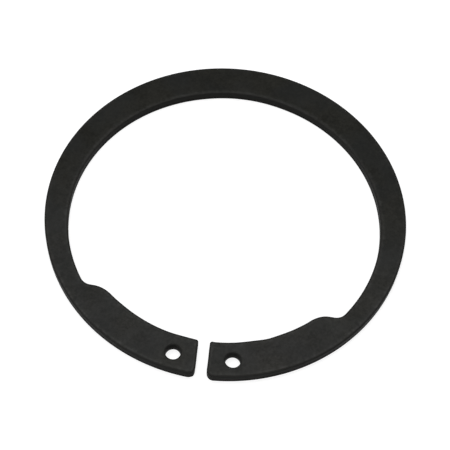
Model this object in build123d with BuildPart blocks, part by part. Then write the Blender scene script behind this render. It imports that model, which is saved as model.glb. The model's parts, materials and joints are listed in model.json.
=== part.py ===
from build123d import *
from math import cos, radians, sqrt
import os

os.makedirs("parts", exist_ok=True)

# A snap ring for the outside of a 60 mm shaft, of the inverted kind: round
# on its outside, with two long lugs that point inwards. It is stamped in one
# piece from spring steel strip. The body thins from the back to two necks,
# the lugs end at a narrow gap, and each lug has a hole for pliers.
#
# The origin is the centre of the round outer edge, on the underside.
# +Z is the ring's axis, and the gap is on the -Y side. The ring lies free,
# neither sprung open nor squeezed shut.

# Driving dimensions, in millimetres and degrees
thickness = 2.0
seat_radius = 27.9             # the inner edge that grips the shaft
seat_offset = 0.3              # from the origin to the seat's centre, towards the back
back_seat_angle = 16.0         # half the angle that the seat spans at the back
back_width = 6.3               # radial width of the ring at the back
relief_offset = 1.6            # from the origin to the body's inner centre, towards the gap
lug_angle = 45.4               # from the middle of the gap to a lug's shoulder
neck_radius = 2.4              # hollow corner between the body and a shoulder
shoulder_flat = 0.5            # straight part of a shoulder, between its round corners
end_gap = 2.1
end_outer_radius = 1.3         # corner of a lug's end, on the outside
end_inner_radius = 0.5         # corner of a lug's end, on the seat
plier_hole_diameter = 2.8
plier_hole_spacing = 10.9      # between the centres of the two holes
plier_hole_wall = 1.93         # between a hole and the round outer edge
die_roll = 0.25                # upper edge, where the punch drew the steel in
tumbled_edge = 0.12            # lower edge and hole edges, where tumbling took off the burr

outer_radius = seat_radius + seat_offset + back_width

# The body's inner edge is a circle about a centre nearer to the gap, so that
# the body is widest at the back. It crosses the seat at the back seat's ends.
relief_radius = seat_radius + (seat_offset + relief_offset) * cos(radians(back_seat_angle))

# Each shoulder is a straight step along X, from the body's inner edge to the
# seat. The full corner at the lug is as round as the flat leaves room for.
shoulder_drop = seat_radius * cos(radians(lug_angle))
shoulder_level = seat_offset - shoulder_drop
neck_level = shoulder_level + neck_radius
neck_x = sqrt((relief_radius - neck_radius) ** 2 - (neck_level + relief_offset) ** 2)
corner_x_squared = seat_radius**2 - shoulder_drop**2
heel_x_squared = (neck_x - shoulder_flat) ** 2
heel_radius = (heel_x_squared - corner_x_squared) / (2 * (seat_radius - shoulder_drop))

# The plier holes lie on a circle inside the round outer edge.
plier_circle = outer_radius - plier_hole_wall - plier_hole_diameter / 2
plier_level = -sqrt(plier_circle**2 - (plier_hole_spacing / 2) ** 2)

with BuildPart() as snap_ring:
    with BuildSketch() as blank:
        Circle(outer_radius)
        with Locations((0, seat_offset)):
            Circle(seat_radius, mode=Mode.SUBTRACT)
        # Only the part of the relief above the shoulders is cut.
        with BuildSketch(mode=Mode.SUBTRACT):
            with Locations((0, -relief_offset)):
                Circle(relief_radius)
            with Locations((0, shoulder_level)):
                Rectangle(
                    2 * outer_radius,
                    outer_radius,
                    align=(Align.CENTER, Align.MAX),
                    mode=Mode.SUBTRACT,
                )
        Rectangle(
            end_gap,
            2 * outer_radius,
            align=(Align.CENTER, Align.MAX),
            mode=Mode.SUBTRACT,
        )
        # From the gap upwards, the corners are the lugs' outer ends, their
        # inner ends, and then the shoulders, each with a neck outside a heel.
        shoulders = blank.vertices().group_by(Axis.Y)[2]
        fillet(shoulders.sort_by(lambda corner: abs(corner.X))[2:], neck_radius)
        shoulders = blank.vertices().group_by(Axis.Y)[2]
        fillet(shoulders.sort_by(lambda corner: abs(corner.X))[:2], heel_radius)
        fillet(blank.vertices().group_by(Axis.Y)[1], end_inner_radius)
        fillet(blank.vertices().group_by(Axis.Y)[0], end_outer_radius)
    extrude(amount=thickness)
    with Locations((0, plier_level, thickness)):
        with GridLocations(plier_hole_spacing, 0, 2, 1):
            Hole(plier_hole_diameter / 2)
    fillet(snap_ring.faces().sort_by(Axis.Z)[-1].outer_wire().edges(), die_roll)
    hole_mouths = snap_ring.faces().sort_by(Axis.Z)[-1].inner_wires().edges()
    lower_edges = snap_ring.faces().sort_by(Axis.Z)[0].edges()
    chamfer(hole_mouths + lower_edges, tumbled_edge)

print(f"outer radius {outer_radius:.2f}, relief radius {relief_radius:.2f}")
print(f"shoulder level {shoulder_level:.2f}, heel radius {heel_radius:.2f}")
print(f"plier holes at y = {plier_level:.2f}")

snap_ring.part.label = "snap_ring"
export_step(snap_ring.part, "parts/snap_ring.step")
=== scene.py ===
# %% [markdown]
# # Dressing a snap ring
#
# This lesson gives the imported CAD model of a snap ring its real surface. The
# ring springs into a groove on a shaft of 60 mm. It is stamped from spring
# steel strip, tumbled to take off its burrs, hardened, and given a dull black
# coat of phosphate. It is one piece, so the likeness rests on two things: how
# its cut edges are shaped, and how the coat takes the light.
#
# The CAD model is loaded first and stays as it is.

# %% Load the imported model
import json

import bpy
import numpy as np
from mathutils import Matrix, Vector


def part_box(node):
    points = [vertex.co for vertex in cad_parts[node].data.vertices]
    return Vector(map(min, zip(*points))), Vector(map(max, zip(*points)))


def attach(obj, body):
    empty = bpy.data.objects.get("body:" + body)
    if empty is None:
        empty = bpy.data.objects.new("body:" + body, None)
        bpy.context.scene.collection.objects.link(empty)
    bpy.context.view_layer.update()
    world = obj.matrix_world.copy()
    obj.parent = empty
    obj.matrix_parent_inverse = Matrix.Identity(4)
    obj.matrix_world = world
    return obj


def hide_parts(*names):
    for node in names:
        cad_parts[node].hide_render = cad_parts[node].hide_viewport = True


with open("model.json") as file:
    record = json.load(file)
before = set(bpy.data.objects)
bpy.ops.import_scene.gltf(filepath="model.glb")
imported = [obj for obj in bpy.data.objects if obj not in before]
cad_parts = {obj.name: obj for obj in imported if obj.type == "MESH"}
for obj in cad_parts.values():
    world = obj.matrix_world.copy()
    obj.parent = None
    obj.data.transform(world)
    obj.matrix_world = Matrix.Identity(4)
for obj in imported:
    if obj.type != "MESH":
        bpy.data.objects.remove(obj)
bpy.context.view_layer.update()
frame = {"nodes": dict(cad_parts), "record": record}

print("CAD nodes:", sorted(frame["nodes"]))

# %% [markdown]
# ## Sizes that the frame gives
#
# Copied numbers let two models drift apart. The node's box gives the ring's
# thickness and outer radius, and the record's mounts give the seat that grips
# the shaft and the two holes for pliers.

# %% Read the ring's sizes
MM = 0.001
ring_low, ring_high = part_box("snap_ring")
thickness = ring_high.z - ring_low.z
outer_radius = (ring_high.x - ring_low.x) / 2

mounts = {mount["name"]: mount for mount in frame["record"]["mounts"]}
seat = mounts["shaft_seat"]
seat_radius = seat["dims"]["r_mm"] * MM
seat_centre = np.array(seat["pos_m"][:2])
plier_hole = mounts["right_plier_hole"]
hole_radius = plier_hole["dims"]["r_mm"] * MM
hole_centre = np.array(plier_hole["pos_m"][:2])

print(f"thickness {thickness / MM:.2f} mm, outer radius {outer_radius / MM:.2f} mm")
print(f"seat radius {seat_radius / MM:.2f} mm, hole radius {hole_radius / MM:.2f} mm")

# %% [markdown]
# ## The plan of the ring
#
# Seen from above, the ring is a chain of circular arcs. Its outside is one
# circle. On its inside, the seat touches the shaft along the lugs and again
# at the back. Between them the body's inner edge is a larger circle about a
# centre nearer to the gap, so the body thins from the back towards the lugs
# and bends evenly. Each lug starts at a shoulder, with a hollow corner at the
# neck and a full corner at the heel.
#
# The outline could be traced as a row of points, but arcs that touch each
# other keep every corner smooth at any fineness.

# %% Driving sizes of the plan
relief_centre = np.array([0.0, -1.6 * MM])
back_seat_angle = np.radians(16.0)
lug_angle = np.radians(45.4)
neck_radius = 2.4 * MM
shoulder_flat = 0.5 * MM
half_gap = 1.05 * MM
end_outer_radius = 1.3 * MM
end_inner_radius = 0.5 * MM

# %% Centres and radii that follow from them
middle = np.zeros(2)
centre_offset = seat_centre[1] - relief_centre[1]
relief_radius = seat_radius + centre_offset * np.cos(back_seat_angle)
shoulder_drop = seat_radius * np.cos(lug_angle)
shoulder_level = seat_centre[1] - shoulder_drop


def beside(centre, reach, x=None, y=None):
    """The point at that distance from centre, given its X (below centre) or its Y (to the right).

    The other coordinate is a side of a right-angled triangle whose longest
    side is the reach.
    """
    if y is None:
        return np.array([x, centre[1] - np.sqrt(reach**2 - (x - centre[0]) ** 2)])
    return np.array([centre[0] + np.sqrt(reach**2 - (y - centre[1]) ** 2), y])


neck_centre = beside(relief_centre, relief_radius - neck_radius, y=shoulder_level + neck_radius)
heel_x = neck_centre[0] - shoulder_flat
corner_x_squared = seat_radius**2 - shoulder_drop**2
heel_radius = (heel_x**2 - corner_x_squared) / (2 * (seat_radius - shoulder_drop))
heel_centre = np.array([heel_x, shoulder_level - heel_radius])
end_inner_centre = beside(seat_centre, seat_radius + end_inner_radius, x=half_gap + end_inner_radius)
end_outer_centre = beside(middle, outer_radius - end_outer_radius, x=half_gap + end_outer_radius)
print(f"relief radius {relief_radius / MM:.2f} mm, heel radius {heel_radius / MM:.2f} mm")

# %% [markdown]
# Each arc gives its points and, at each point, the way out of the steel. The
# edge shapes need that direction later, and an arc knows it exactly: away
# from its centre on a full corner, towards its centre on a hollow one.

# %% Arcs and lines with their outward direction
longest_step = 0.28 * MM
widest_turn = np.radians(7.5)


def sweep(start, stop, radius):
    """Even angles from start to stop, close enough together for that radius."""
    steps = max(abs(stop - start) * radius / longest_step, abs(stop - start) / widest_turn)
    return np.linspace(start, stop, int(np.ceil(steps)) + 1)


def arc(centre, radius, angles, full=True):
    """Centre plus radius times (cosine, sine) of each angle. The steel is inside the circle if full."""
    spokes = np.stack([np.cos(angles), np.sin(angles)], axis=1)
    return centre + radius * spokes, spokes if full else -spokes


def line(start, stop, out, share):
    """Points at those shares of the way from start to stop, all with the same outward direction."""
    return start + share[:, None] * (stop - start), np.repeat([out], len(share), axis=0)


def chain(*runs):
    """Joins runs end to end, without the first point of each later run, which the one before it has."""
    points = [runs[0][0]] + [run[0][1:] for run in runs[1:]]
    outs = [runs[0][1]] + [run[1][1:] for run in runs[1:]]
    return np.concatenate(points), np.concatenate(outs)


def bearing(start, stop):
    """The angle of the direction from start to stop, anticlockwise from +X."""
    return np.arctan2(stop[1] - start[1], stop[0] - start[0])


# %% [markdown]
# The ring is treated as a band that is bent round. Its columns run from the
# right lug's end, round the back, to the left lug's end, and its rows run
# from the inner edge to the outer edge. So the plan needs four edges: inner,
# outer, and one at each lug's end. The band's four corners are put in the
# middle of the lugs' rounded corners, where the edges can meet smoothly.

# %% The inner edge, from the gap to the back
end_face = np.pi
inner_corner_end = bearing(end_inner_centre, seat_centre)
inner_corner_middle = (end_face + inner_corner_end) / 2
crossing = np.arccos(
    (relief_radius**2 - seat_radius**2 - centre_offset**2) / (2 * seat_radius * centre_offset)
)
seat_end = seat_centre + seat_radius * np.array([np.sin(crossing), np.cos(crossing)])

seat_angles = sweep(bearing(seat_centre, end_inner_centre), bearing(seat_centre, heel_centre), seat_radius)
heel_angles = sweep(bearing(heel_centre, seat_centre), np.pi / 2, heel_radius)
neck_angles = sweep(-np.pi / 2, bearing(relief_centre, neck_centre), neck_radius)
relief_angles = sweep(bearing(relief_centre, neck_centre), bearing(relief_centre, seat_end), relief_radius)
back_angles = sweep(bearing(seat_centre, seat_end), np.pi / 2, seat_radius)
heel_top = np.array([heel_x, shoulder_level])
neck_bottom = np.array([neck_centre[0], shoulder_level])

inner_half = chain(
    arc(end_inner_centre, end_inner_radius, sweep(inner_corner_middle, inner_corner_end, end_inner_radius)),
    arc(seat_centre, seat_radius, seat_angles, full=False),
    arc(heel_centre, heel_radius, heel_angles),
    line(heel_top, neck_bottom, (0.0, 1.0), np.array([0.0, 0.5, 1.0])),
    arc(neck_centre, neck_radius, neck_angles, full=False),
    arc(relief_centre, relief_radius, relief_angles, full=False),
    arc(seat_centre, seat_radius, back_angles, full=False),
)
print("columns in half the ring:", len(inner_half[0]) - 1)

# %% [markdown]
# The outer edge needs as many points as the inner edge, each in line with its
# partner and the ring's middle, so that the columns lie across the band. The
# inner points' own angles are used again, stretched very slightly to start
# where the lug's outer corner stops.

# %% The outer edge and the lug's end
outer_corner_end = bearing(middle, end_outer_centre)
outer_corner_middle = (end_face + outer_corner_end + 2 * np.pi) / 2
corner_angles = sweep(outer_corner_middle, outer_corner_end + 2 * np.pi, end_outer_radius)
inner_angles = np.arctan2(inner_half[0][:, 1], inner_half[0][:, 0])[len(corner_angles) - 1:]
stretch = (np.pi / 2 - outer_corner_end) / (np.pi / 2 - inner_angles[0])
outer_half = chain(
    arc(end_outer_centre, end_outer_radius, corner_angles),
    arc(middle, outer_radius, outer_corner_end + stretch * (inner_angles - inner_angles[0])),
)

# The rows nearest to an edge keep these distances, and even steps follow.
close_rows = np.array([0.0, 0.06, 0.13, 0.21, 0.31, 0.43, 0.58]) * MM
even_rows = 13
end_length = end_inner_centre[1] - end_outer_centre[1]
end_share = np.concatenate([close_rows[:-1], np.linspace(close_rows[-1], end_length, even_rows)]) / end_length

end_top = np.array([half_gap, end_inner_centre[1]])
end_bottom = np.array([half_gap, end_outer_centre[1]])
right_end = chain(
    arc(end_inner_centre, end_inner_radius, sweep(inner_corner_middle, end_face, end_inner_radius)),
    line(end_top, end_bottom, (-1.0, 0.0), end_share),
    arc(end_outer_centre, end_outer_radius, sweep(end_face, outer_corner_middle, end_outer_radius)),
)
print("rows across the band:", len(right_end[0]) - 1)

# %% [markdown]
# The left half is the mirror image of the right one. Mirrored points run the
# other way, so they are also put in reverse order before they are joined on.

# %% Mirror the half into a whole
mirror = np.array([-1.0, 1.0])


def whole(half):
    """A half edge from the gap to the back, then its mirror image from the back to the gap."""
    return chain(half, (half[0][::-1] * mirror, half[1][::-1] * mirror))


inner_edge = whole(inner_half)
outer_edge = whole(outer_half)
left_end = (right_end[0] * mirror, right_end[1] * mirror)
columns = len(inner_edge[0])
rows = len(right_end[0])
print("columns", columns, "rows", rows)

# %% [markdown]
# The whole outline is walked with the steel on the left: along the outer
# edge, across the left lug's end, back along the inner edge, and across the
# right lug's end.

# %% Join the edges into one outline
outline = chain(
    outer_edge,
    (left_end[0][::-1], left_end[1][::-1]),
    (inner_edge[0][::-1], inner_edge[1][::-1]),
    right_end,
)
outline = (outline[0][:-1], outline[1][:-1])  # the last point was the first one again
steps = np.linalg.norm(np.roll(outline[0], -1, axis=0) - outline[0], axis=1)
print(f"outline {steps.sum() / MM:.1f} mm long in {len(steps)} steps")

# %% [markdown]
# ## The flat faces
#
# A fan of triangles would fill the flat face, but it can't carry marks that
# follow the ring. A grid can. Each point is a straight blend from the inner
# to the outer edge. At a lug's end the edge isn't straight, so the difference
# is added there and fades out over the nearest columns.
#
# The faces stop a little inside the outline, where the rounded edges begin.
# Rows lie close together near both edges, because the upper face isn't quite
# flat there.

# %% The grid that both faces share
flat_start = 0.46 * MM
fading_columns = 24


def inside(edge, distance):
    """The edge's points, moved into the steel by that distance."""
    return edge[0] - distance * edge[1]


def row_shares(width, near_end):
    """How far across the band each row is, from 0 to 1, column by column.

    Away from the ends, the rows by each edge keep their distances to it, and
    the others share out what is left. The end's own shares fade in by near_end.
    """
    close = close_rows / width
    between = np.linspace(0, 1, rows - 2 * len(close_rows) + 2)[1:-1]
    middle_rows = close[:, -1:] + between * (1 - 2 * close[:, -1:])
    spread = np.concatenate([close, middle_rows, 1 - close[:, ::-1]], axis=1)
    along_end = (right_end[0] - right_end[0][0]) @ (right_end[0][-1] - right_end[0][0])
    return near_end * along_end / along_end[-1] + (1 - near_end) * spread


def band_grid(inner, outer, first, last):
    """Inner edge plus a share of the way to the outer one, and by each end what the end's edge adds."""
    fade = np.clip(1 - np.arange(len(inner)) / fading_columns, 0, 1)[:, None] ** 2
    width = np.linalg.norm(outer - inner, axis=1)[:, None]
    share = row_shares(width, fade + fade[::-1])[..., None]
    grid = (1 - share) * inner[:, None] + share * outer[:, None]
    fade = fade[..., None]
    return grid + fade * (first - grid[0]) + fade[::-1] * (last - grid[-1])


face_grid = band_grid(
    inside(inner_edge, flat_start),
    inside(outer_edge, flat_start),
    inside(right_end, flat_start),
    inside(left_end, flat_start),
)
print("face grid", face_grid.shape)

# %% [markdown]
# A punch doesn't leave a plain corner. Before it shears the steel, it draws
# the face in, so the upper face sinks softly over the last millimetre and then
# turns down in a tight round. The sinking is only a twentieth of a millimetre,
# but it tilts the face by a few degrees, so the border takes the light a
# little differently. A bevel would have one tilt and look like a stripe.

# %% How the upper face sinks towards an edge
draw_reach = 0.95 * MM
draw_depth = 0.05 * MM


def drawn_in(distance):
    """How far the upper face has sunk: the depth times the square of the share of the reach that is left."""
    return draw_depth * np.clip(1 - distance / draw_reach, 0, 1) ** 2


def edge_distances(grid):
    """How far each grid point is from the outline, measured square to the outline at its nearest point.

    The nearest point has the least squared distance. Of that, only the part
    that differs from one outline point to another is worked out.
    """
    points = grid.reshape(-1, 2)
    nearest = ((outline[0] ** 2).sum(axis=1) - 2 * points @ outline[0].T).argmin(axis=1)
    gaps = outline[0][nearest] - points
    return (gaps * outline[1][nearest]).sum(axis=1).reshape(grid.shape[:-1])


edge_distance = edge_distances(face_grid)
print(f"distances {edge_distance.min() / MM:.3f} to {edge_distance.max() / MM:.2f} mm")

# %% [markdown]
# The tight round is a quarter of an ellipse. It is listed once, as distances
# into the steel and depths below the face, because the plier holes' mouths
# use it as well.

# %% The rounded upper edge
round_in = 0.24 * MM
round_down = 0.20 * MM
quarter = np.linspace(0, np.pi / 2, 9)
lead_in = np.linspace(flat_start, round_in, 4)[1:-1]
round_distance = np.concatenate([lead_in, round_in * (1 - np.sin(quarter))])
round_sink = drawn_in(round_distance) + round_down * np.concatenate([0 * lead_in, 1 - np.cos(quarter)])
wall_top = thickness - round_sink[-1]
print(f"the wall starts {round_sink[-1] / MM:.2f} mm below the face")

# %% [markdown]
# Wear and grime depend on how near a spot is to an edge, so each point keeps
# a few marks from 0 to 1, which the material reads as attributes: how much it
# gets rubbed, whether it is on a cut wall, and whether it is on the torn part
# of that wall. The points of every surface go into one store, and the store
# hands back their numbers, so neighbours share points and the skin is closed.

# %% A store of points with their marks
kept_points = []
kept_marks = []
kept_faces = []
mark_names = ("rub", "cut", "torn")


def keep(points, rub=0.0, cut=0.0, torn=0.0):
    """Stores a block of points with their marks, and returns their numbers in the same layout."""
    first = sum(len(block) for block in kept_points)
    shape = points.shape[:-1]
    marks = np.stack([np.broadcast_to(mark, shape) for mark in (rub, cut, torn)], axis=-1)
    kept_points.append(points.reshape(-1, 3))
    kept_marks.append(marks.reshape(-1, 3))
    return first + np.arange(np.prod(shape)).reshape(shape)


def keep_faces(numbers, outward_turn, chosen=None):
    """Four-sided faces between neighbours in a grid of point numbers.

    The corners go first along the grid's second direction and then along its
    first. With outward_turn False they go round the other way.
    """
    quads = np.stack([numbers[:-1, :-1], numbers[:-1, 1:], numbers[1:, 1:], numbers[1:, :-1]], axis=-1)
    quads = quads.reshape(-1, 4) if chosen is None else quads[chosen]
    kept_faces.append(quads if outward_turn else quads[:, ::-1])


def at_height(plan, height):
    """Plan points with a height."""
    return np.concatenate([plan, np.broadcast_to(height, plan.shape[:-1])[..., None]], axis=-1)


# %% [markdown]
# Where a plier hole goes, a square block of the grid is left out. Rings of
# faces lead from the block's edge to the round hole, so the rest of the grid
# never has to know about the hole. The left block is the right one's mirror
# image.

# %% Find the blocks round the plier holes
block_reach = hole_radius + 0.95 * MM
hole_circle = np.linalg.norm(hole_centre)
nearest = np.linalg.norm(face_grid - hole_centre, axis=-1)
hole_column, hole_row = np.unravel_index(np.argmin(nearest), nearest.shape)
column_angles = np.arctan2(face_grid[:, hole_row, 1], face_grid[:, hole_row, 0])
row_radii = np.linalg.norm(face_grid[hole_column], axis=-1)
column_places = (column_angles - column_angles[hole_column]) * hole_circle
block_columns = np.flatnonzero(np.abs(column_places) < block_reach)
block_rows = np.flatnonzero(np.abs(row_radii - hole_circle) < block_reach)
right_block = (block_columns[0] - 1, block_columns[-1] + 1, block_rows[0] - 1, block_rows[-1] + 1)
left_block = (columns - 1 - right_block[1], columns - 1 - right_block[0], right_block[2], right_block[3])
print("right block", right_block, "left block", left_block)

# %% Keep both faces, without the blocks
edge_rub = 0.85
rub_reach = 0.75 * MM


def face_rub(distance):
    """Rubbing on a flat face: it dies away with the distance from the nearest edge."""
    return edge_rub * np.exp(-distance / rub_reach)


top = keep(at_height(face_grid, thickness - drawn_in(edge_distance)), rub=face_rub(edge_distance))
bottom = keep(at_height(face_grid, 0.0), rub=face_rub(edge_distance))
shown = np.ones((columns - 1, rows - 1), bool)
for first_column, last_column, first_row, last_row in (right_block, left_block):
    shown[first_column:last_column, first_row:last_row] = False
keep_faces(top, True, shown)
keep_faces(bottom, False, shown)
print("quads on each face:", shown.sum())

# %% [markdown]
# ## The stamped edge
#
# Below the rounded upper edge the punch shears the steel, which leaves a
# smooth band. For the rest of the way the steel tears, a little behind the
# smooth band and unevenly. Tumbling rounds the lower edge.
#
# The shape is a profile carried along the whole outline: each of its points
# is a distance into the steel and a height. The height at which the tear
# starts wanders along the outline, and the torn part has its own bumps. Both
# come from a sum of waves that closes on itself after one turn.

# %% Sizes of the cut wall
tear_height = 0.82 * MM
tear_wander = 0.09 * MM
tear_step = 0.010 * MM
tear_lean = 0.015 * MM
tear_bump = 0.011 * MM
lower_round = 0.10 * MM

# %% Waves round the outline
wave_count = 40


def waves(turn, rise, turns, tilt, seed):
    """A sum of sines. Each has a whole number of waves round the outline, and its own tilt up the wall.

    Its square is 1 on average, whatever the number of sines.
    """
    draw = np.random.default_rng(seed)
    whole_turns = draw.integers(turns[0], turns[1], wave_count)
    tilts = draw.uniform(-tilt, tilt, wave_count)
    phases = draw.uniform(0, 2 * np.pi, wave_count)
    angle = 2 * np.pi * (turn[..., None] * whole_turns + rise[..., None] * tilts) + phases
    return np.sin(angle).sum(axis=-1) / np.sqrt(wave_count / 2)


# %% [markdown]
# The marks go with the profile. The round and the lower edge get rubbed most,
# and the cut begins in the round, where the steel starts to slide past the
# punch.

# %% The profile
round_cut = np.concatenate([[0.15, 0.35], 0.5 + 0.5 * np.sin(quarter) ** 2])
round_rub = np.concatenate([[0.45, 0.35], 0.25 + 0.25 * np.sin(2 * quarter)])
band = np.linspace(0, 1, 5)[1:]
low = np.linspace(0, np.pi / 2, 7)[1:]


def edge_profile(turn, tear_start):
    """Distance into the steel, height and marks, from the upper face down to the lower face.

    The upper edge sinks and then turns down in a quarter of an ellipse. The
    smooth band is upright, the torn part leans in with bumps that are
    strongest at its middle, and the lower edge is a quarter of a circle.
    """
    tear = np.linspace(0, 1, 9)[1:]
    flat = np.ones(len(turn))[:, None]
    start = tear_start[:, None]
    along, rise = np.broadcast_arrays(turn[:, None], tear)
    bump = tear_bump * np.sin(np.pi * tear) * waves(along, rise, turns=(160, 620), tilt=2.5, seed=7)
    still_wall = low < 0.6  # the start of the lower round still counts as wall
    distance = [
        flat * round_distance,
        flat * 0 * band,
        flat * (tear_step * np.minimum(1, 4 * tear) + tear_lean * tear) + bump,
        flat * (tear_step + tear_lean + lower_round * (1 - np.cos(low))),
    ]
    height = [
        thickness - flat * round_sink,
        wall_top * (1 - band) + start * band,
        start * (1 - tear) + lower_round * tear,
        flat * lower_round * (1 - np.sin(low)),
    ]
    # Rubbing fades down the wall and comes back on the lower edge.
    rub = [
        flat * round_rub,
        flat * (0.25 - 0.20 * band),
        flat * 0.05 * (1 - tear),
        flat * (0.10 + 0.50 * np.sin(2 * low)),
    ]
    cut = [flat * round_cut, flat * (band > 0), flat * (tear > 0), flat * still_wall]
    torn = [flat * 0 * round_distance, flat * 0 * band, flat * np.minimum(1, 3 * tear), flat * still_wall]
    return [np.concatenate(parts, axis=1) for parts in (distance, height, rub, cut, torn)]


# %% [markdown]
# The profile's first and last rows are the faces' own border points, taken in
# the outline's order.

# %% Carry the profile round the outline
face_border = [(slice(None), -1), (-1, slice(None, None, -1)), (slice(None, None, -1), 0), (0, slice(None))]


def border(numbers):
    """The numbers on a face grid's border, in the outline's order."""
    return np.concatenate([numbers[side][:-1] for side in face_border])


turn = np.concatenate([[0.0], np.cumsum(steps)[:-1]]) / steps.sum()
tear_start = tear_height + tear_wander * waves(turn, 0 * turn, turns=(3, 90), tilt=0, seed=3)
distance, height, rub, cut, torn = edge_profile(turn, tear_start)
wall_plan = outline[0][:, None] - distance[..., None] * outline[1][:, None]
wall = keep(at_height(wall_plan, height), rub, cut, torn)
rim = np.concatenate([border(top)[:, None], wall, border(bottom)[:, None]], axis=1)
keep_faces(np.concatenate([rim, rim[:1]]), True)
print("rim", rim.shape[0], "points round,", rim.shape[1], "down")

# %% [markdown]
# ## The plier holes
#
# A hole is the same idea turned inside out: rings of points that lead from
# the block's edge on the upper face, in to the rounded mouth, down the wall,
# and out again on the lower face. Its angles are those of the block's own
# border points, so every ring has as many points as the border.
#
# These holes were punched from the other side, so here the torn part comes
# first and leaves the hole a little wider at the top than at the bottom.

# %% The profile of a plier hole
hole_flare = 0.02 * MM
hole_tear_end = 0.9 * MM
hole_bump = 0.8 * tear_bump
mouth_low = 0.10 * MM

tear = np.linspace(0, 1, 8)[1:]
hole_growth = np.concatenate([
    [hole_flare + flat_start],
    hole_flare + round_distance,
    hole_flare * (1 - 2 * tear),
    -hole_flare + 0 * band,
    -hole_flare + (hole_flare + mouth_low) * (1 - np.cos(low)),
])
hole_level = np.concatenate([
    [thickness - drawn_in(flat_start)],
    thickness - round_sink,
    wall_top + (hole_tear_end - wall_top) * tear,
    hole_tear_end + (mouth_low - hole_tear_end) * band,
    mouth_low * (1 - np.sin(low)),
])
hole_cut = np.concatenate([[0], round_cut, np.ones(len(tear) + len(band)), np.cos(low) ** 2])[:, None]
above_tear = 1 + len(round_sink)
below_tear = len(band) + len(low)
hole_torn = np.concatenate([np.zeros(above_tear), np.sin(np.pi * tear) ** 0.5, np.zeros(below_tear)])[:, None]
print("a plier hole's profile has", len(hole_level), "points")

# %% Rings round a plier hole
lead_rings = 5
lead_rub = 0.10
mouth_rub = 0.15


def block_border(numbers, block):
    """The numbers on a block's border, anticlockwise as seen from above."""
    first_column, last_column, first_row, last_row = block
    held = numbers[first_column:last_column + 1, first_row:last_row + 1]
    return np.concatenate([held[0, :-1], held[:-1, -1], held[-1, :0:-1], held[:0:-1, 0]])


def hole_rings(centre, border_plan, seed):
    """Rings on the upper face, then the hole's profile, then rings on the lower face.

    On a face, a point is a blend of the border point and its partner on the
    hole's rim. Down the wall, it is the centre plus the radius in the
    direction of its angle. The upper, torn part is uneven.
    """
    spoke = border_plan - centre
    angle = np.arctan2(spoke[:, 1], spoke[:, 0])
    spoke = np.stack([np.cos(angle), np.sin(angle)], axis=-1)
    share = np.linspace(0, 1, lead_rings + 2)[1:-1, None, None]

    def lead(rim_radius):
        return (1 - share) * border_plan + share * (centre + rim_radius * spoke)

    upper_plan = lead(hole_radius + hole_flare + flat_start)
    upper_sink = drawn_in(np.linalg.norm(upper_plan - centre, axis=-1) - hole_radius - hole_flare)
    lower_plan = lead(hole_radius + mouth_low)[::-1]
    rub = lead_rub + lead_rub * share[..., 0]

    along, rise = np.broadcast_arrays(
        ((angle / (2 * np.pi)) % 1.0)[None], np.linspace(0, 1, len(hole_level))[:, None]
    )
    bump = hole_bump * hole_torn * waves(along, rise, turns=(3, 16), tilt=6, seed=seed)
    radius = hole_radius + hole_growth[:, None] + bump
    tube = at_height(centre + radius[..., None] * spoke, hole_level[:, None])

    upper = keep(at_height(upper_plan, thickness - upper_sink), rub)
    numbers = keep(tube, mouth_rub * (1 - hole_cut), hole_cut, hole_torn)
    lower = keep(at_height(lower_plan, 0.0), rub[::-1])
    return np.concatenate([upper, numbers, lower])


# %% Punch both holes
for number, (block, centre) in enumerate([(right_block, hole_centre), (left_block, hole_centre * mirror)]):
    border_top = block_border(top, block)
    border_bottom = block_border(bottom, block)
    border_plan = face_grid.reshape(-1, 2)[border_top - top[0, 0]]
    rings = hole_rings(centre, border_plan, seed=11 + number)
    rings = np.concatenate([border_top[None], rings, border_bottom[None]])
    keep_faces(np.concatenate([rings, rings[:, :1]], axis=1), True)
    print("hole", number + 1, "has", rings.shape[0], "rings of", rings.shape[1], "points")

# %% [markdown]
# ## One closed mesh
#
# The store's blocks are joined. The grid points inside the two left-out
# blocks, which no face uses, are dropped.

# %% Join the blocks
points = np.concatenate(kept_points)
marks = np.concatenate(kept_marks)
used, faces = np.unique(np.concatenate(kept_faces), return_inverse=True)
faces = faces.reshape(-1, 4)
points, marks = points[used], marks[used]
print("points", len(points), "faces", len(faces))

# %% [markdown]
# A stamped ring isn't quite even. On this one the gap leans to the left at
# its inner end, one heel is a little lower than the drawing and the other a
# little fuller, the lugs' inner edges swell slightly near the gap, the right
# one has a faint kink, and two corners at the gap are tighter. None of it
# comes to more than a fifth of a millimetre. The outline could be drawn
# unevenly from the start. It is simpler to draw it even, and then to push the
# steel over near each of these places.

# %% Push the uneven places over
# Each has a place and a shift, as X and Y, and a reach, in millimetres.
uneven_places = {
    "inner end of the gap": ((0.0, -27.8), (-0.20, 0.0), 3.2),
    "left heel": ((-18.6, -20.5), (0.0, -0.16), 2.4),
    "right heel": ((20.6, -19.4), (0.0, 0.15), 2.2),
    "left lug's inner edge": ((-3.9, -27.3), (0.0, 0.10), 2.2),
    "right lug's inner edge": ((8.0, -26.4), (0.0, 0.05), 2.2),
    "kink in the right lug": ((11.1, -25.2), (0.0, -0.12), 1.7),
    "left lug's outer corner": ((-1.35, -34.0), (0.08, -0.06), 0.5),
    "right lug's inner corner": ((1.1, -27.4), (-0.07, 0.08), 0.5),
}


def push(spot, shift, reach):
    """Moves the points near a spot by shift, times e to the power of minus (distance over reach) squared."""
    apart = np.linalg.norm(points[:, :2] - np.array(spot) * MM, axis=1)
    near = np.exp(-(apart / (reach * MM)) ** 2)
    points[:, :2] += near[:, None] * np.array(shift) * MM
    return np.sum(near > 0.1)


for name, (spot, shift, reach) in uneven_places.items():
    print(name, "moves", push(spot, shift, reach), "points")

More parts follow.
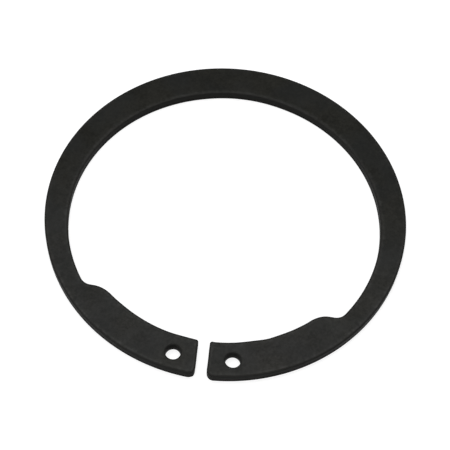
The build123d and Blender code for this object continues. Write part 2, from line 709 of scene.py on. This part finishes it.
# %% [markdown]
# The mesh is shaded smooth: the rolled and rounded edges have enough rows of
# their own, so no edge needs marking sharp. The volume that the faces enclose
# tells whether they point outwards: it is positive only if they do.

# %% Make the ring's mesh
def show(name, data):
    """Puts a mesh, a lamp or a camera into the scene, as an object of that name."""
    thing = bpy.data.objects.new(name, data)
    bpy.context.scene.collection.objects.link(thing)
    return thing


mesh = bpy.data.meshes.new("stamped_ring")
mesh.from_pydata(points.tolist(), [], faces.tolist())
mesh.shade_smooth()
for index, name in enumerate(mark_names):
    layer = mesh.attributes.new(name=name, type="FLOAT", domain="POINT")
    layer.data.foreach_set("value", marks[:, index].astype(np.float32))
mesh.update()

ring = show("stamped_ring", mesh)
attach(ring, "root")
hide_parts("snap_ring")

# A triangle and the origin enclose a sixth of a . (b x c), and a quad is two triangles.
a, b, c, d = (points[faces[:, corner]] for corner in range(4))
volume = (np.sum(a * np.cross(b, c)) + np.sum(a * np.cross(c, d))) / 6
print(f"{len(points)} points, {2 * len(faces)} triangles, {volume / MM**3:.0f} cubic mm of steel")

# %% [markdown]
# ## Finishes as node groups
#
# The coat has several things going on at once, so each gets a node group with
# named inputs: soft clouds in the phosphate, fine crystals, thin drag marks
# from tumbling, the streaks and grain of the cut walls, and the rubbing along
# edges. All of them read Object coordinates, because then a pattern keeps its
# real size and runs on unbroken from a face over an edge.
#
# A few small helpers keep the node code short. The first fills a node's
# inputs, the second adds a node, the third starts a group and makes its
# sockets, and the others each add one kind of node that is used often. A
# socket knows which tree it is in, so these others needn't be told.

# %% Helpers for nodes
def feed(tree, node, values):
    """Fills a node's inputs. A value that is a socket gets linked, and any other value is set."""
    for name, value in values.items():
        if isinstance(value, bpy.types.NodeSocket):
            tree.links.new(value, node.inputs[name])
        else:
            node.inputs[name].default_value = value


def place(tree, kind, values=None, **settings):
    """Adds a node with those settings, and feeds it those values."""
    node = tree.nodes.new("ShaderNode" + kind)
    for name, value in settings.items():
        setattr(node, name, value)
    feed(tree, node, values or {})
    return node


def new_group(name, inputs, outputs):
    """Starts a group with a Vector, numbers that have a first value, and numbers that come out."""
    group = bpy.data.node_groups.new(name, "ShaderNodeTree")
    group.interface.new_socket("Vector", in_out="INPUT", socket_type="NodeSocketVector")
    for label, value in inputs.items():
        socket = group.interface.new_socket(label, in_out="INPUT", socket_type="NodeSocketFloat")
        socket.default_value = value
    for label in outputs:
        group.interface.new_socket(label, in_out="OUTPUT", socket_type="NodeSocketFloat")
    return group, group.nodes.new("NodeGroupInput").outputs, group.nodes.new("NodeGroupOutput").inputs


def calculate(operation, first, second=0.0):
    """One step of arithmetic. At least one of the two values is a socket."""
    tree = (first if isinstance(first, bpy.types.NodeSocket) else second).id_data
    return place(tree, "Math", {0: first, 1: second}, operation=operation).outputs[0]


def noise(vector, scale, detail, roughness):
    """Soft random values around a half, with scale patches to the unit."""
    values = {"Vector": vector, "Scale": scale, "Detail": detail, "Roughness": roughness}
    return place(vector.id_data, "TexNoise", values).outputs["Fac"]


def stretch_range(value, low, high, to_low=0.0, to_high=1.0):
    """Spreads the range from low to high over the range from to_low to to_high, and cuts off the rest."""
    values = {"Value": value, "From Min": low, "From Max": high, "To Min": to_low, "To Max": to_high}
    return place(value.id_data, "MapRange", values).outputs["Result"]


# %% [markdown]
# ### Phosphate clouds and crystals
#
# Phosphate grows as tiny crystals, denser in some places than in others. From
# a hand's width away this is a soft mottling a few millimetres across, some of
# it browner and some bluer. Close up it is a fine grain that makes the surface
# dull. A picture could show one such surface. Noise at several sizes never
# repeats and stays sharp however near the camera comes.
#
# Three noises are mixed into the tone: wide clouds, small clouds and speckles.
# The tint has wide clouds of its own, in another part of the noise.

# %% Group for the phosphate
phosphate, given, result = new_group(
    "phosphate_clouds",
    {"Cloud Size": 6.0, "Speckle Size": 0.45, "Crystal Size": 0.08},
    ("Tone", "Tint", "Crystals"),
)
small_clouds_to_a_wide_one = 5.0
wide_weight, small_weight, speckle_weight = 0.30, 0.40, 0.40
tone_range = (0.43, 0.67)
tint_range = (0.40, 0.62)
tint_clouds_to_a_wide_one = 0.8
other_part = (31.0, 17.0, 5.0)

cloud_scale = calculate("DIVIDE", 1.0, given["Cloud Size"])
small_scale = calculate("MULTIPLY", cloud_scale, small_clouds_to_a_wide_one)
speckle_scale = calculate("DIVIDE", 1.0, given["Speckle Size"])
wide = noise(given["Vector"], cloud_scale, detail=2.0, roughness=0.45)
small = noise(given["Vector"], small_scale, detail=4.0, roughness=0.8)
speckles = noise(given["Vector"], speckle_scale, detail=2.0, roughness=0.6)
mottle = calculate("MULTIPLY", wide, wide_weight)
mottle = calculate("ADD", mottle, calculate("MULTIPLY", small, small_weight))
mottle = calculate("ADD", mottle, calculate("MULTIPLY", speckles, speckle_weight))
phosphate.links.new(stretch_range(mottle, *tone_range), result["Tone"])

shifted = place(phosphate, "VectorMath", {0: given["Vector"], 1: other_part}, operation="ADD").outputs[0]
tint_scale = calculate("MULTIPLY", cloud_scale, tint_clouds_to_a_wide_one)
tint = noise(shifted, tint_scale, detail=2.0, roughness=0.5)
phosphate.links.new(stretch_range(tint, *tint_range), result["Tint"])

crystal_scale = calculate("DIVIDE", 1.0, given["Crystal Size"])
cells = {"Vector": given["Vector"], "Scale": crystal_scale}
crystals = place(phosphate, "TexVoronoi", cells).outputs["Distance"]
phosphate.links.new(crystals, result["Crystals"])
print("phosphate_clouds has", len(phosphate.nodes), "nodes")

# %% [markdown]
# ### Drag marks
#
# In the tumbling drum, rings scrape past each other and leave thin pale marks
# in every direction. A mark is noise that is squeezed across and drawn out
# along one direction, of which only the peaks are kept. Two directions are
# laid over each other.

# %% Group for the drag marks
drag, given, result = new_group("drag_marks", {"Length": 3.0, "Width": 0.12, "Cut Off": 0.66}, ["Marks"])
drag_directions = (0.5, 2.3)
mark_fade = 0.10

along_mark = calculate("DIVIDE", 1.0, given["Length"])
across_mark = calculate("DIVIDE", 1.0, given["Width"])
squeeze = place(drag, "CombineXYZ", {"X": along_mark, "Y": across_mark, "Z": along_mark}).outputs[0]
full_mark = calculate("ADD", given["Cut Off"], mark_fade)
layers = []
for direction in drag_directions:
    turn_by = {"Vector": given["Vector"], "Angle": direction}
    turned = place(drag, "VectorRotate", turn_by, rotation_type="Z_AXIS")
    drawn = place(drag, "VectorMath", {0: turned.outputs[0], 1: squeeze}, operation="MULTIPLY").outputs[0]
    peaks = noise(drawn, 1.0, detail=1.0, roughness=0.5)
    layers.append(stretch_range(peaks, given["Cut Off"], full_mark))
drag.links.new(calculate("MAXIMUM", *layers), result["Marks"])
print("drag_marks has", len(drag.nodes), "nodes")

# %% [markdown]
# ### Cut walls
#
# The punch leaves fine upright streaks on the smooth band of a wall, and the
# torn part is grainy. The marks kept with the mesh say which part is which.

# %% Group for the cut walls
cut_wall, given, result = new_group(
    "cut_wall",
    {"Cut": 0.0, "Torn": 0.0},
    ("Height", "Roughness Change", "Tone Change"),
)
streaks_to_a_mm = (9.0, 9.0, 0.35)
grains_to_a_mm = 7.0
streak_depth = 0.35
band_roughness, tear_roughness = -0.12, 0.10
palest_grain, grain_contrast = 0.75, 0.5

streak_scale = {0: given["Vector"], 1: streaks_to_a_mm}
upright = place(cut_wall, "VectorMath", streak_scale, operation="MULTIPLY").outputs[0]
streaks = noise(upright, 1.0, detail=2.0, roughness=0.6)
grain = noise(given["Vector"], grains_to_a_mm, detail=4.0, roughness=0.65)
smooth_part = calculate("SUBTRACT", given["Cut"], given["Torn"])
streak_height = calculate("MULTIPLY", streaks, smooth_part)
streak_height = calculate("MULTIPLY", streak_height, streak_depth)
grain_height = calculate("MULTIPLY", grain, given["Torn"])
cut_wall.links.new(calculate("ADD", streak_height, grain_height), result["Height"])

smoother = calculate("MULTIPLY", smooth_part, band_roughness)
rougher = calculate("MULTIPLY", given["Torn"], tear_roughness)
cut_wall.links.new(calculate("ADD", smoother, rougher), result["Roughness Change"])

darker = calculate("MULTIPLY", calculate("SUBTRACT", grain, palest_grain), given["Torn"])
cut_wall.links.new(calculate("MULTIPLY", darker, grain_contrast), result["Tone Change"])
print("cut_wall has", len(cut_wall.nodes), "nodes")

# %% [markdown]
# ### Rubbed edges
#
# Where rings rub on each other, the coat's crystals are flattened, so the
# border is smoother and a little paler. The mark kept with the mesh says where
# that can happen, and noise breaks it up so that the line isn't even. What
# stays below the least rub doesn't show.

# %% Group for the rubbed edges
rubbed, given, result = new_group("rubbed_edges", {"Rub": 0.0, "Unevenness": 0.5}, ["Rubbed"])
patches_to_a_mm = 1.1
least_rub = 0.30

# Noise runs from 0 to 1, and here that becomes -1 to 1 times the unevenness.
broken = noise(given["Vector"], patches_to_a_mm, detail=4.0, roughness=0.65)
uneven = calculate("MULTIPLY", calculate("SUBTRACT", broken, 0.5), given["Unevenness"])
rub_here = calculate("ADD", given["Rub"], calculate("MULTIPLY", uneven, 2.0))
rubbed.links.new(stretch_range(rub_here, least_rub, 1.0), result["Rubbed"])
print("rubbed_edges has", len(rubbed.nodes), "nodes")

# %% [markdown]
# ## The blackened steel
#
# The groups come together in one material. Coordinates are turned into
# millimetres first, so that every size in a group can be read off a ruler.
# The colours go from a dark, slightly brown coat to a paler one and a bluer
# one. Cut walls are given a paler colour, and rubbed spots a flattened coat.

# %% Colours of the coat
coat_dark = (0.0116, 0.0116, 0.0097, 1.0)
coat_pale = (0.0206, 0.0203, 0.0173, 1.0)
coat_blue = (0.0160, 0.0174, 0.0178, 1.0)
coat_rubbed = (0.0280, 0.0280, 0.0263, 1.0)
coat_cut = (0.0250, 0.0250, 0.0235, 1.0)


def blend(factor, first, second):
    """Goes from the first colour to the second as the factor goes from 0 to 1."""
    values = {"Factor": factor, 6: first, 7: second}
    return place(factor.id_data, "Mix", values, data_type="RGBA").outputs[2]


def attribute(tree, name):
    """A mark that the mesh keeps for each point."""
    return place(tree, "Attribute", attribute_name=name).outputs["Fac"]


print("rubbed coat", coat_rubbed[:3])

# %% Start the material with the four groups
steel = bpy.data.materials.new("blackened_steel")
steel.use_nodes = True
tree = steel.node_tree
shader = tree.nodes["Principled BSDF"]
coordinates = place(tree, "TexCoord").outputs["Object"]
in_mm = place(tree, "VectorMath", {0: coordinates, "Scale": 1 / MM}, operation="SCALE").outputs[0]
cut_mark = attribute(tree, "cut")

clouds = place(tree, "Group", {"Vector": in_mm}, node_tree=phosphate).outputs
drag_shown = place(tree, "Group", {"Vector": in_mm}, node_tree=drag).outputs["Marks"]
wall_marks = {"Vector": in_mm, "Cut": cut_mark, "Torn": attribute(tree, "torn")}
walls = place(tree, "Group", wall_marks, node_tree=cut_wall).outputs
rub_marks = {"Vector": in_mm, "Rub": attribute(tree, "rub")}
rub_shown = place(tree, "Group", rub_marks, node_tree=rubbed).outputs["Rubbed"]
print("blackened_steel has", len(tree.nodes), "nodes so far")

# %% Mix the coat's colours
mark_strength = 0.22
most_blue, most_cut, most_worn = 0.45, 0.8, 0.8

tone = calculate("ADD", clouds["Tone"], walls["Tone Change"])
coat = blend(tone, coat_dark, coat_pale)
coat = blend(calculate("MULTIPLY", clouds["Tint"], most_blue), coat, coat_blue)
coat = blend(calculate("MULTIPLY", cut_mark, most_cut), coat, coat_cut)
worn = calculate("MAXIMUM", calculate("MULTIPLY", drag_shown, mark_strength), rub_shown)
coat = blend(calculate("MULTIPLY", worn, most_worn), coat, coat_rubbed)
feed(tree, shader, {"Base Color": coat})

# %% [markdown]
# The coat is dull and hardly metallic. Where it is worn, it is smoother, and
# some of the steel shows through. It scatters nearly all its light, so its own
# mirror-like part is turned almost off.
#
# A trace of oil lies over it. That is the shader's clear coat, as a thin and
# broken film: denser where the phosphate is, densest on rubbed spots, where
# flattened crystals leave it smooth, and missing on the cut walls. It gives
# the face its faint sheen and a pale line along its edges.

# %% Dullness, oil and relief
dullness = (0.52, 0.62)
film_weights = (0.077, 0.142)
film_where_rubbed = 2.8
worn_smoothness, worn_metal = 0.14, 0.35
wall_relief = 2.0

dull = stretch_range(clouds["Tone"], 0.0, 1.0, *dullness)
dull = calculate("ADD", dull, walls["Roughness Change"])
dull = calculate("SUBTRACT", dull, calculate("MULTIPLY", worn, worn_smoothness))
steel_shows = calculate("MULTIPLY", worn, worn_metal)

on_face = calculate("SUBTRACT", 1.0, cut_mark)
film = stretch_range(clouds["Tone"], 0.0, 1.0, *film_weights)
more_film = stretch_range(rub_shown, 0.0, 1.0, 1.0, film_where_rubbed)
film = calculate("MULTIPLY", film, more_film)
film = calculate("MULTIPLY", film, on_face)

relief = calculate("MULTIPLY", clouds["Crystals"], calculate("SUBTRACT", 1.0, worn))
relief = calculate("ADD", relief, calculate("MULTIPLY", walls["Height"], wall_relief))
bump = place(tree, "Bump", {"Height": relief, "Strength": 0.35, "Distance": 0.02 * MM})

feed(tree, shader, {"Roughness": dull, "Metallic": steel_shows, "Specular IOR Level": 0.012})
feed(tree, shader, {"Coat Weight": film, "Coat Roughness": 0.26, "Normal": bump.outputs["Normal"]})
mesh.materials.append(steel)
print("blackened_steel has", len(tree.nodes), "nodes")

# %% [markdown]
# ## The floor
#
# The photo shows the ring on pure white. Turning the lamps up until the floor
# clips would wash out the ring too. So the floor is pale and lit plainly, and
# it adds some light of its own, but only for rays that the camera sees
# directly, in a reflection or through glass. The ring's soft shadow stays.
#
# A flat floor would end in a horizon. This one is a round dish: flat for more
# than a metre, and then bent up, so a low camera still sees white behind the
# ring. The profile is a radius and a height, carried round in even turns.

# %% The dish's points and faces
floor_gap = 0.01 * MM
flat_radii = np.array([0.4, 0.8])
bend_start = 1.2
bend_radius = 0.3
dish_turns = 96

bend = np.linspace(0, np.pi / 2, 13)
dish_radius = np.concatenate([flat_radii, bend_start + bend_radius * np.sin(bend)])
dish_height = np.concatenate([0 * flat_radii, bend_radius * (1 - np.cos(bend))]) - floor_gap
dish_angle = np.linspace(0, 2 * np.pi, dish_turns + 1)[:-1]
dish_plan = dish_radius[:, None, None] * np.stack([np.cos(dish_angle), np.sin(dish_angle)], axis=-1)
dish = at_height(dish_plan, dish_height[:, None])

numbers = 1 + np.arange(dish_radius.size * dish_turns).reshape(dish_radius.size, dish_turns)
numbers = np.concatenate([numbers, numbers[:, :1]], axis=1)
middle_faces = np.stack([np.zeros(dish_turns, int), numbers[0, :-1], numbers[0, 1:]], axis=-1)
dish_faces = np.stack([numbers[:-1, :-1], numbers[1:, :-1], numbers[1:, 1:], numbers[:-1, 1:]], axis=-1)
dish_faces = dish_faces.reshape(-1, 4)
print("dish", dish_radius[-1], "m in radius and", round(dish_height[-1], 3), "m deep")

# %% Lay the floor
floor_points = [(0, 0, -floor_gap)] + dish.reshape(-1, 3).tolist()
floor_mesh = bpy.data.meshes.new("pale_floor")
floor_mesh.from_pydata(floor_points, [], middle_faces.tolist() + dish_faces.tolist())
floor_mesh.shade_smooth()
floor = show("pale_floor", floor_mesh)
print("floor faces", len(floor_mesh.polygons))

# %% [markdown]
# Near the ring the lamps light the floor, so there it needs less light of its
# own than far away, where the near lamp doesn't reach. A strength of 1 is
# white.

# %% The floor's material
floor_grey = 0.42
fill_starts, fill_ends = 0.06, 0.4
least_fill, full_fill = 0.76, 1.0

floor_paint = bpy.data.materials.new("pale_floor")
floor_paint.use_nodes = True
floor_tree = floor_paint.node_tree
floor_shader = floor_tree.nodes["Principled BSDF"]
plain_grey = (floor_grey, floor_grey, floor_grey, 1.0)
feed(floor_tree, floor_shader, {"Base Color": plain_grey, "Roughness": 0.9, "Specular IOR Level": 0.0})
light_path = place(floor_tree, "LightPath").outputs
seen = calculate("MAXIMUM", light_path["Is Camera Ray"], light_path["Is Glossy Ray"])
seen = calculate("MAXIMUM", seen, light_path["Is Transmission Ray"])
floor_spot = place(floor_tree, "TexCoord").outputs["Object"]
from_ring = place(floor_tree, "VectorMath", {0: floor_spot}, operation="LENGTH").outputs["Value"]
fill = stretch_range(from_ring, fill_starts, fill_ends, least_fill, full_fill)
glow = calculate("MULTIPLY", seen, fill)
feed(floor_tree, floor_shader, {"Emission Color": (1.0, 1.0, 1.0, 1.0), "Emission Strength": glow})
floor_mesh.materials.append(floor_paint)
print("pale_floor has", len(floor_tree.nodes), "nodes")

# %% [markdown]
# ## The light
#
# The photo's light is soft and comes from above and a little from the left:
# the walls are darker than the upper face, and the walls of the plier holes
# are nearly black. A wide sun does for it, because a sun lights the floor
# evenly out to the horizon.
#
# The upper face is paler at the front and at the sides than at the back. That
# is the mirror image of a lamp in the film of oil. It is a long oval lamp that
# hangs close by, above and behind the ring, and lies across the view. From
# there the front and the sides mirror it to the camera, and the back doesn't.

# %% Hang the lamps
def towards(azimuth, elevation):
    """The direction to a lamp. Azimuth 0 is the front, and 90 the right, in degrees."""
    turn, rise = np.radians([azimuth, elevation])
    return Vector((np.sin(turn) * np.cos(rise), -np.cos(turn) * np.cos(rise), np.sin(rise)))


def hang(lamp, direction, distance):
    """Puts a lamp at that distance in that direction from the ring's middle, shining at it."""
    holder = show(lamp.name, lamp)
    holder.location = direction * distance
    holder.rotation_mode = "QUATERNION"
    holder.rotation_quaternion = (-direction).to_track_quat("-Z", "Y")


main_light = bpy.data.lights.new("main_light", "SUN")
main_light.energy = 1.6
main_light.angle = np.radians(80)
hang(main_light, towards(-40, 70), 1.0)

top_light = bpy.data.lights.new("top_light", "AREA")
top_light.shape = "ELLIPSE"
top_light.size = 0.30
top_light.size_y = 0.12
top_light.energy = 0.31
hang(top_light, towards(184, 70), 0.28)
print("lamps:", main_light.name, top_light.name)

# %% [markdown]
# The world fills in from all sides, weakly, so that no wall is black. The
# dish hides it from any camera that looks at the ring from above.

# %% Fill in with the world
world = bpy.data.worlds.new("soft_room")
world.use_nodes = True
background = world.node_tree.nodes["Background"]
feed(world.node_tree, background, {"Color": (1.0, 1.0, 1.0, 1.0), "Strength": 0.15})
bpy.context.scene.world = world
print("world:", world.name)

# %% [markdown]
# ## The camera
#
# The camera was found by fitting the ring's own arcs to the photo's edges. It
# stands about 27 cm away, in front and well above, slightly to the right, and
# it was held with a small tilt. The picture is square, and its sensor's width
# is Blender's usual 36 mm.

# %% Set up the camera
camera_azimuth = 4.51
camera_elevation = 58.84
camera_distance = 273.27 * MM
camera_roll = np.radians(3.818)
aim = Vector((0.147 * MM, -2.244 * MM, thickness / 2))

camera = bpy.data.cameras.new("photo_camera")
camera.sensor_width = 36.0
camera.lens = 114.65
camera.clip_start = 0.01
back = towards(camera_azimuth, camera_elevation)
level_right = Vector((0, 0, 1)).cross(back).normalized()
level_up = back.cross(level_right)
right = level_right * np.cos(camera_roll) + level_up * np.sin(camera_roll)
up = back.cross(right)
camera_holder = show("photo_camera", camera)
camera_holder.matrix_world = (
    Matrix.Translation(aim + back * camera_distance) @ Matrix((right, up, back)).transposed().to_4x4()
)
bpy.context.scene.camera = camera_holder
bpy.context.scene.view_settings.view_transform = "Standard"
print(f"camera {camera_distance / MM:.0f} mm away, lens {camera.lens:.1f} mm")
